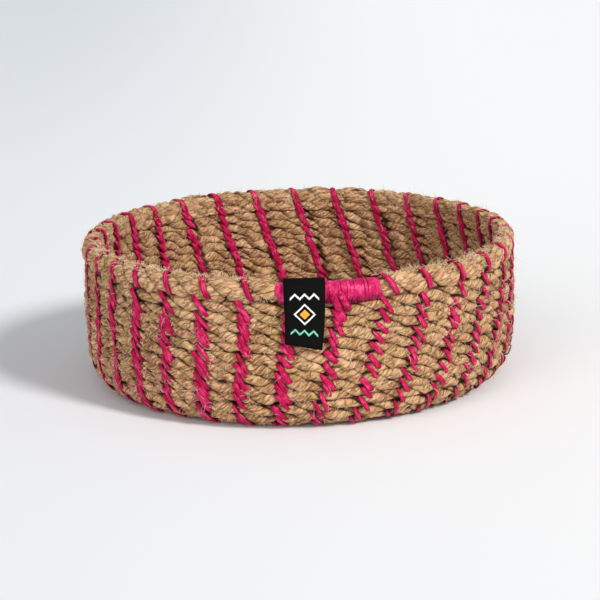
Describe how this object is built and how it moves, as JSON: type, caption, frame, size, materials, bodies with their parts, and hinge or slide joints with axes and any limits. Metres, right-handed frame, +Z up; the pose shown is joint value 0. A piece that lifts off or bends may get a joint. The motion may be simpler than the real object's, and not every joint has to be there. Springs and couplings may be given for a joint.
{
  "type": "coiled rope basket",
  "caption": "Low round tray basket of coiled jute rope, stitched with rows of pink yarn, with a thicker bound rim rope and a folded label.",
  "frame": {"origin": "middle of the round underside, on the surface that the basket stands on; the middle of the whole part's box is within the claim's tolerance of it, as the label stands a little proud at the front", "axes": "+Z up along the basket's axis, -Y towards the front where the label hangs, +X to the right of it"},
  "size_m": [0.2114, 0.2139, 0.0718],
  "materials": {
    "rope": "coarse twisted jute, matt",
    "rim_rope": "coarse twisted jute, matt, hairy",
    "yarn": "flat twisted yarn with a soft shine",
    "binding_yarn": "tightly wound yarn with a soft shine",
    "label_tape": "woven tape, matt"
  },
  "bodies": {
    "root": {"floor_coil": "rope", "label": "label_tape", "rim_binding": "binding_yarn", "rim_rope": "rim_rope", "stitch_row_01_inside": "yarn", "stitch_row_01_outside": "yarn", "stitch_row_02_inside": "yarn", "stitch_row_02_outside": "yarn", "stitch_row_03_inside": "yarn", "stitch_row_03_outside": "yarn", "stitch_row_04": "yarn", "stitch_row_05": "yarn", "stitch_row_06": "yarn", "stitch_row_07": "yarn", "stitch_row_08": "yarn", "stitch_row_09": "yarn", "stitch_row_10": "yarn", "stitch_row_11": "yarn", "stitch_row_12": "yarn", "stitch_row_13": "yarn", "stitch_row_14": "yarn", "stitch_row_15": "yarn", "stitch_row_16": "yarn", "stitch_row_17": "yarn", "stitch_row_18": "yarn", "stitch_row_19": "yarn", "stitch_row_20": "yarn", "stitch_row_21": "yarn", "stitch_row_22": "yarn", "stitch_row_23": "yarn", "stitch_row_24": "yarn", "stitch_row_25": "yarn", "stitch_row_26": "yarn", "stitch_row_27": "yarn", "stitch_row_28": "yarn", "stitch_row_29": "yarn", "stitch_row_30": "yarn", "stitch_row_31": "yarn", "stitch_row_32": "yarn", "wall_coil": "rope"}
  },
  "joints": []
}
